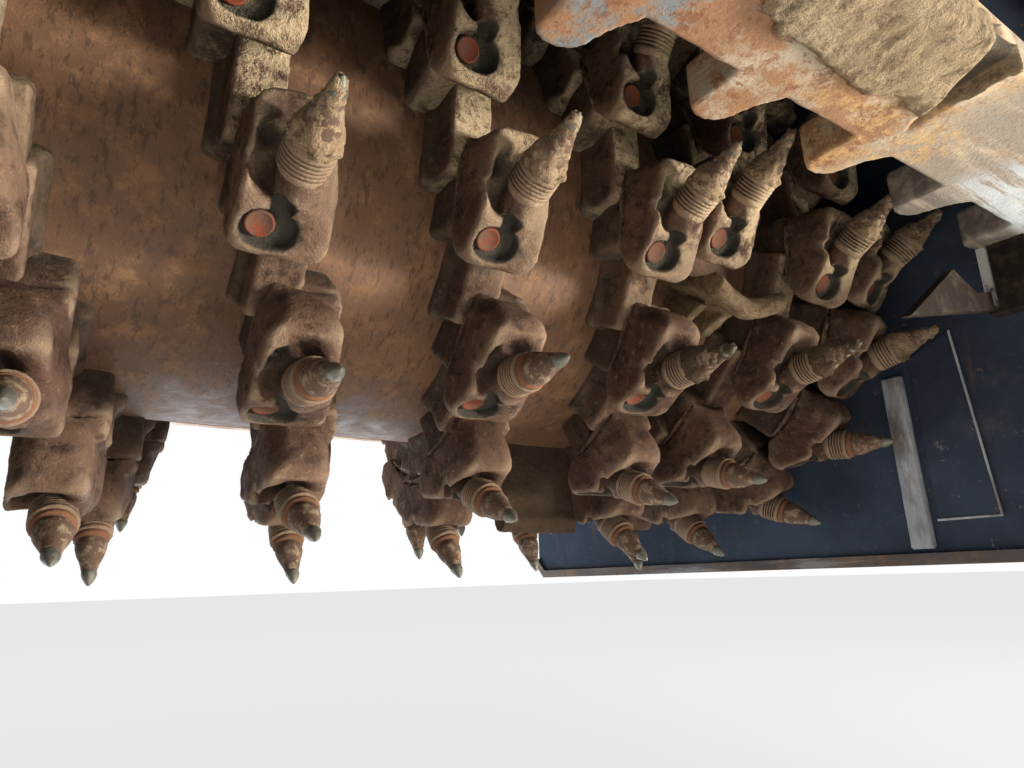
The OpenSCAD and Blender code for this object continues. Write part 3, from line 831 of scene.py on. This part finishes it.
CARRIED = [
    (DARK_PAINT, ("roof_shell", "top_flange", "crown_ribs", "left_wall", "right_wall", "front_wall",
                  "conveyor_collar", "rear_guides", "rear_beam", "gearbox", "bearing_housing", "drive_cover",
                  "moldboard_barrels", "side_plate_barrels", "beam_brackets", "moldboard", "left_side_plate",
                  "right_side_plate")),
    (rod_steel(), ("spray_bar", "moldboard_rods", "left_rods", "right_rods")),
    (tube_rust(), ("drum_tube",)),
    (hub_iron(), ("drum_hub",)),
    (SKID_STEEL, ("left_skid", "right_skid")),
    (worn_plate(), ("moldboard_edge", "beam_arms")),
    (hanger_steel(), ("beam_gussets",)),
]


def dress_carried_nodes():
    """Gives its finish to each CAD node that shows as it is."""
    for finish, nodes in CARRIED:
        for node in nodes:
            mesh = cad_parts[node].data
            mesh.materials.clear()
            mesh.materials.append(finish)


# In degrees: how far from the drum's front picks are caked, and how far a web stands behind the middle
# between its two holders.
CAKED_REACH = 34.0
WEB_SETBACK = 6.0


def make_tool_sources():
    """One of each thing that repeats on the drum, as helper objects: holder, web, pick, crust and cap."""
    cast = cut_piece("holder", holder_field, (-48, -130, 276), (48, 26, 468), step=2.4, share=0.12)
    # Stores dirt together with painted shade for the holders: the recess, the side hollow and low down.
    mark(cast.data, "grime_and_shade", holder_dirt_and_shade)
    sleeve = lathe(SLEEVE_PROFILE, 22, "sleeve", SEAT, PICK_LINE)
    mark(sleeve, "grime_and_shade", lambda spots: np.zeros(len(spots)))
    holder = link("holder_whole", joined("holder_whole", [(cast.data, Matrix()), (sleeve, Matrix())]))
    discard(cast)
    web = cut_piece("web", web_field, (-44, -74, 276), (38, 74, 358), step=4.0, share=0.35)
    # Painted shade with dirt on the webs, darker towards the web's foot.
    mark(web.data, "grime_and_shade", lambda spots: np.clip((340 - spots[:, 2]) / 60, 0, 0.5))
    pick = link("pick", lathe(PICK_PROFILE, 20, "pick", SEAT, PICK_LINE))
    mark(pick.data, "along", lambda spots: (spots - SEAT) @ PICK_LINE)
    crust = cut_piece("crust", crust_field, (-30, -70, 408), (30, 20, 496), step=2.2, share=0.35)
    cap = link("cap", lathe(CAP_PROFILE, 28, "cap", CAP_FOOT, SLOPE_OUT))
    return holder, web, pick, crust, cap


def make_flight(node, rows, matrices, holder, web):
    """The holders and webs of one flight as one cast piece, which stands for the flight's CAD node."""
    holders = placed(node + "_holders", holder, matrices, HOLDER_IRON, depth=0.004, size=26.0)
    pairs = zip(rows, rows[1:])
    between = [tool_matrix((a[0] + b[0]) / 2, (a[1] + b[1]) / 2 - WEB_SETBACK) for a, b in pairs]
    webs = placed(node + "_webs", web, between, HOLDER_IRON, depth=0.003, size=30.0)
    shape = joined(node + "_cast", [(holders.data, Matrix()), (webs.data, Matrix())])
    shape.materials.append(HOLDER_IRON)
    shade(shape, True)
    discard(holders, webs)
    cast = link(node + "_cast", shape)
    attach(cast, "drum")
    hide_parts(node)


def make_drum_tools():
    """Holders, webs, picks and caps, one piece for each CAD node they stand for, and the picks' dirt."""
    holder, web, pick, crust, cap = make_tool_sources()
    left_picks, right_picks, caked = [], [], []
    for node, (rows, ends) in FLIGHTS.items():
        tools = rows + ends
        matrices = [tool_matrix(*tool) for tool in tools]
        make_flight(node, rows, matrices, holder, web)
        side = left_picks if node.startswith("left") else right_picks
        side.extend(matrices)
        for tool, matrix in zip(tools, matrices):
            if abs((tool[1] + 180) % 360 - 180) < CAKED_REACH:
                caked.append(matrix)
    for name, source, matrices, finish, node, slot, depth in (
            ("left_picks_turned", pick, left_picks, PICK_IRON, "left_picks", "pick_steel", 0.003),
            ("right_picks_turned", pick, right_picks, PICK_IRON, "right_picks", "pick_steel", 0.003),
            ("caps_pressed", cap, left_picks + right_picks, CAP_PLASTIC, "pick_caps", "cap_plastic", 0.0),
            ("pick_crusts", crust, caked, PICK_DIRT, None, "pick_steel", 0.004)):
        made = placed(name, source, matrices, finish, depth, size=60.0)
        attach(made, "drum")
        if node:
            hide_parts(node)
    discard(holder, web, pick, crust, cap)


# Ejector blades. Columns: sideways place, angle, half width, distance of the top from the axis, end sweep.
EJECTORS = [(270, -88, 66, 427, -6), (362, -26, 64, 405, -20)]
EJECTOR_TURNS = (0, 120, 240)


def make_blade(name, half, top, sweep):
    """A cast blade, bent like a shallow bow, with a thick rounded head and two ribs behind it."""

    def field(points):
        """The blade's distances."""
        x, y, z = points.T
        bow = y + 2 + sweep * (np.abs(x) / half) ** 1.4
        plate = slab(np.maximum(np.abs(x) - half, np.abs(z - 350) - (top - 350)), bow, 8, 5)
        head = np.hypot(bow, z - top + 14) - 14
        head = np.maximum(head, np.abs(x) - half)
        body = soft_join(plate, head, 6)
        rib_outline = [(-50, 285), (-44, 330), (-6, top - 40), (4, 285)]
        for rib_x in (-0.6 * half, 0.2 * half):
            rib = slab(outline_distance(y, z, rib_outline), x - rib_x, 8, 3)
            body = soft_join(body, rib, 6)
        return body + 1.3 * lumps(points, 45, 21) + 0.7 * lumps(points, 15, 22)

    return cut_piece(name, field, (-half - 8, -62, 286), (half + 8, 34, top + 8), step=3.0, share=0.5)


def make_ejectors():
    """The caked blades that throw the milled material into the conveyor's mouth."""
    blades, shapes = [], []
    for number, (place_x, angle, half, top, sweep) in enumerate(EJECTORS):
        blade = make_blade("blade_%d" % number, half, top, sweep)
        blades.append(blade)
        shapes += [(blade.data, tool_matrix(place_x, angle + turn)) for turn in EJECTOR_TURNS]
    mesh = joined("ejectors_caked", shapes)
    discard(*blades)
    mesh.materials.append(caked_dirt("blade_dirt", 0.7))
    shade(mesh, True)
    made = link("ejectors_caked", mesh)
    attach(made, "drum")
    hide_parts("ejectors")


# The comb beam, in mm from the drum's axis. TOOTH is seen from above, POCKET is a chip in the lower face.
BEAM_HALF = 670.0
BEAM_MIDDLE_Z = -67.0
TEETH = 8
TOOTH_ROOT_Y = -570.0
FIRST_TOOTH = 62.4
TOOTH_STEP = 172.0
TOOTH = [(0, -14), (0, 50), (4, 56), (12, 59), (27, 59), (36, 55), (43, 48), (48, 31), (52, 19), (57, 11),
         (62, 5), (66, -2), (66, -14)]
POCKET = [(297, -604), (236, -714), (288, -714)]


def cake_share(points):
    """Where caked dirt lies on the beam's lower face: behind a ragged line, broken off at its right end."""
    x, y, z = points.T
    ragged = y + 628 + 22 * lumps(points, 170, 9) + 8 * lumps(points, 40, 10)
    ragged = ragged + 120 * np.clip((x - 292 - 0.1 * (y + 650)) / 12, 0, 1)
    return np.clip(-ragged / 6, 0, 1) * (z < BEAM_MIDDLE_Z)


def pocket_shadow_share(points):
    """Where the pocket's painted shadow lies on the beam's lower face."""
    pocket = outline_distance(points[:, 0], points[:, 1], POCKET)
    return np.clip(-pocket / 4, 0, 1) * (points[:, 2] < BEAM_MIDDLE_Z)


def comb_field(points):
    """The toothed beam with its dirt and its pocket."""
    x, y, z = points.T
    body = block(np.stack([x, y, np.zeros(len(x))], axis=1), (0, -635, 0), (BEAM_HALF, 65, 60), 2)
    for i in range(TEETH):
        tooth = outline_distance(x - (BEAM_HALF - FIRST_TOOTH - TOOTH_STEP * i), y - TOOTH_ROOT_Y, TOOTH)
        body = np.minimum(body, tooth)
    plate = slab(body, z - BEAM_MIDDLE_Z, 23, 2)
    dirt = lumps(points, 120, 3) + 0.5 * lumps(points, 34, 6)
    pocket = outline_distance(x, y, POCKET)
    cake = cake_share(points) * (6 + 2.2 * dirt + 1.2 * lumps(points, 16, 7)) * np.clip(pocket / 3, 0, 1)
    hollow = np.maximum(pocket, z + 78)
    return soft_cut(plate - 0.8 * np.maximum(dirt, 0) - cake, hollow, 4)


def make_comb_beam():
    """The comb beam with caked dirt on its faces."""
    made = cut_piece("comb_beam_caked", comb_field, (-678, -710, -104), (678, -504, -36),
                     step=3.6, share=0.36)
    mark(made.data, "cake", cake_share)
    # Stores where the pocket's painted shadow lies.
    mark(made.data, "pocket", pocket_shadow_share)
    made.data.transform(Matrix.Translation((0, 0, AXIS_Z)))
    made.data.materials.append(caked_steel())
    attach(made, "comb")
    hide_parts("comb_beam")


def plate_piece(name, corners, low_x, high_x, finish, body, bevel=2.0):
    """A flat plate with bevelled rims. Corners are (y, z) from the drum's axis, low_x and high_x faces."""
    shape = bmesh.new()
    rings = []
    for x in (low_x, high_x):
        rings.append([shape.verts.new((x * MM, y * MM, z * MM)) for y, z in corners])
    shape.faces.new(rings[0])
    shape.faces.new(rings[1][::-1])
    for i in range(len(corners)):
        j = (i + 1) % len(corners)
        shape.faces.new((rings[0][i], rings[0][j], rings[1][j], rings[1][i]))
    bmesh.ops.recalc_face_normals(shape, faces=shape.faces)
    bmesh.ops.bevel(shape, geom=list(shape.edges), offset=bevel * MM, segments=2, affect="EDGES")
    mesh = bpy.data.meshes.new(name)
    shape.to_mesh(mesh)
    shape.free()
    mesh.transform(Matrix.Translation((0, 0, AXIS_Z)))
    mesh.materials.append(finish)
    shade(mesh, False)
    made = link(name, mesh)
    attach(made, body)


# What lies on the inner face of each side plate, in mm, sunk a little into it. Outlines are (y, z) from
# the drum's axis.
PLATE_IN = 690.0
SUNK = 0.5
STRIP_OUTLINE = [(-376, -470), (-344, -470), (-342, -222), (-372, -222)]
STRIP_THICK = 9.0
COVER_OUTLINE = [(-464, -432), (-384, -432), (-384, -200), (-445, -174)]
COVER_THICK = 3.0
RIM_OUTLINE = [(-466, -434), (-384, -434), (-384, -431), (-463, -431), (-444, -175), (-447, -173)]
RIM_THICK = 5.0


def make_wall_trim():
    """The wear strip and the thin cover plate with its rim on the inner face of each side plate."""
    for side, name, body in ((1, "right", "right_side"), (-1, "left", "left_side")):
        inner = side * PLATE_IN
        foot = inner + side * SUNK
        cover_face = inner - side * (COVER_THICK - SUNK)
        plate_piece(name + "_wear_strip", STRIP_OUTLINE, inner - side * STRIP_THICK, foot, STRIP_STEEL, body)
        plate_piece(name + "_cover_plate", COVER_OUTLINE, inner - side * COVER_THICK, foot, DARK_PAINT, body,
                    bevel=1.0)
        plate_piece(name + "_cover_rim", RIM_OUTLINE, inner - side * RIM_THICK, cover_face, STRIP_STEEL,
                    body, bevel=0.6)


# Bolts. Columns of the circles: face along X, radius, angles, height of the middle over the drum's axis.
BOLT_CIRCLES = [
    (-752, 146, range(18, 360, 36), 0),
    (752, 211, (200, 218, 236, 254, 286, 304, 322, 340), 0),
    (822, 172, range(180, 361, 30), 0),
    (822, 112, range(0, 181, 45), 360),
]
COVER_BOLTS = [(822, 152 * side, height) for side in (-1, 1) for height in (120, 240)]
WASHER_PROFILE = [(-1, 18), (0, 19), (2.4, 19), (3, 18), (3, 4)]
HEAD_PROFILE = [(2.6, 15), (3.4, 16.4), (12, 16.4), (14, 14.2), (14, 8.5), (13, 7.5)]
BOLT_TWIST = 0.7


def make_bolts():
    """Hexagon bolts with washers, on the bearing's flange, the gearbox's flange and the drive cover."""
    washer = lathe(WASHER_PROFILE, 24, "washer", (0, 0, 0), (0, 0, 1))
    head = lathe(HEAD_PROFILE, 6, "bolt_head", (0, 0, 0), (0, 0, 1))
    bolt = link("bolt", joined("bolt", [(washer, Matrix()), (head, Matrix())]))
    spots = []
    for x, radius, angles, rise in BOLT_CIRCLES:
        for angle in angles:
            a = math.radians(angle)
            spots.append((x, radius * math.cos(a), radius * math.sin(a) + rise))
    matrices = []
    for number, (x, y, z) in enumerate(spots + COVER_BOLTS):
        outward = Matrix.Rotation(math.radians(90 if x > 0 else -90), 4, "Y")
        twist = Matrix.Rotation(BOLT_TWIST * number, 4, "Z")
        matrices.append(Matrix.Translation((x * MM, y * MM, z * MM + AXIS_Z)) @ (outward @ twist))
    made = placed("housing_bolts", bolt, matrices, SKID_STEEL)
    shade(made.data, False)
    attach(made, "housing")
    discard(bolt)


# The stage, in metres. FLOOR_GLOW is the share of plain white in the floor as the camera sees it.
FLOOR_HALF = 30.0
FLOOR_Z = -1.53
FLOOR_GLOW = 0.76
# Lamps. Columns: name, place, aim, size, watts, colour.
LAMPS = [
    ("key_light", (2.2, -2.0, -1.38), (0.0, -0.35, -0.80), (1.9, 0.28), 205, (1.0, 0.95, 0.88)),
    ("bounce_light", (0.1, -0.55, -1.51), (0.1, -0.54, 0.0), (1.5, 0.7), 5, (1.0, 0.94, 0.86)),
    ("fill_light", (-1.6, -2.4, -1.1), (0.0, -0.3, -0.8), (2.0, 0.8), 3, (0.88, 0.94, 1.0)),
    ("back_light", (-0.4, 0.95, -1.50), (-0.4, 0.94, 0.0), (2.6, 0.9), 55, (0.86, 0.93, 1.0)),
    ("top_light", (0.5, -1.5, 3.0), (0, 0, -0.4), (3.0, 3.0), 70, (1.0, 1.0, 1.0)),
]
# The camera, fitted to the photograph: place, its turns to the right, up and about its line in degrees,
# and the focal length in pixels of the picture's width.
CAMERA_PLACE = (-0.356, -0.870, -1.222)
CAMERA_TURNS = (34.7, 15.4, -1.84)
FOCAL_PIXELS = 706
PICTURE_WIDTH = 1024
SENSOR_WIDTH = 36.0


def seen_plainly(tree):
    """1 for rays from the camera, by a mirror or through glass, 0 for those that light the object."""
    path = add_node(tree, "ShaderNodeLightPath")
    mirrored = calculate(tree, "MAXIMUM", path["Is Glossy Ray"], path["Is Transmission Ray"])
    return calculate(tree, "MAXIMUM", path["Is Camera Ray"], mirrored)


def make_floor():
    """A wide pale floor that keeps the object's shadow."""
    mesh = bpy.data.meshes.new("floor")
    corners = [(-1, -1), (1, -1), (1, 1), (-1, 1)]
    mesh.from_pydata([(x * FLOOR_HALF, y * FLOOR_HALF, FLOOR_Z) for x, y in corners], [], [(0, 1, 2, 3)])
    floor = link("floor", mesh)
    pale = bpy.data.materials.new("floor_pale")
    pale.use_nodes = True
    tree = pale.node_tree
    skin = tree.nodes["Principled BSDF"]
    feed(tree, skin, {"Base Color": (0.82, 0.82, 0.81, 1), "Roughness": 0.7})
    glow = add_node(tree, "ShaderNodeEmission", {"Color": (0.97, 0.98, 1.0, 1)})
    part = calculate(tree, "MULTIPLY", seen_plainly(tree), FLOOR_GLOW)
    blend = add_node(tree, "ShaderNodeMixShader", {0: part, 1: skin.outputs[0], 2: glow[0]})
    feed(tree, tree.nodes["Material Output"], {"Surface": blend[0]})
    mesh.materials.append(pale)


def make_world():
    """A white background that lights the object only a little."""
    world = bpy.data.worlds.new("studio")
    bpy.context.scene.world = world
    world.use_nodes = True
    tree = world.node_tree
    tree.nodes.clear()
    light = add_node(tree, "ShaderNodeBackground", {"Color": (0.93, 0.96, 1.0, 1), "Strength": 0.11})
    shown = add_node(tree, "ShaderNodeBackground", {"Color": (1, 1, 1, 1), "Strength": 1.0})
    mix = add_node(tree, "ShaderNodeMixShader", {0: seen_plainly(tree), 1: light[0], 2: shown[0]})
    add_node(tree, "ShaderNodeOutputWorld", {"Surface": mix[0]})


def make_lamps():
    """Rectangular lamps that the camera doesn't see."""
    for name, place, aim, size, watts, colour in LAMPS:
        data = bpy.data.lights.new(name, "AREA")
        data.shape = "RECTANGLE"
        data.size, data.size_y = size
        data.energy = watts
        data.color = colour
        lamp = link(name, data)
        lamp.location = place
        lamp.rotation_euler = (Vector(aim) - Vector(place)).to_track_quat("-Z", "Y").to_euler()
        lamp.visible_camera = False


def make_camera():
    """The camera at the photograph's place."""
    data = bpy.data.cameras.new("camera")
    data.sensor_width = SENSOR_WIDTH
    data.lens = FOCAL_PIXELS / PICTURE_WIDTH * SENSOR_WIDTH
    data.clip_start = 0.02
    camera = link("camera", data)
    yaw, pitch, roll = (math.radians(a) for a in CAMERA_TURNS)
    forward = Vector((math.sin(yaw) * math.cos(pitch), math.cos(yaw) * math.cos(pitch), math.sin(pitch)))
    level_right = Vector((math.cos(yaw), -math.sin(yaw), 0))
    level_up = level_right.cross(forward)
    right = math.cos(roll) * level_right + math.sin(roll) * level_up
    up = -math.sin(roll) * level_right + math.cos(roll) * level_up
    turn = Matrix((right, up, -forward)).transposed().to_4x4()
    camera.matrix_world = Matrix.Translation(CAMERA_PLACE) @ turn
    bpy.context.scene.camera = camera
    bpy.context.scene.view_settings.view_transform = "Standard"


dress_carried_nodes()
make_drum_tools()
make_ejectors()
make_comb_beam()
make_wall_trim()
make_bolts()
make_floor()
make_world()
make_lamps()
make_camera()
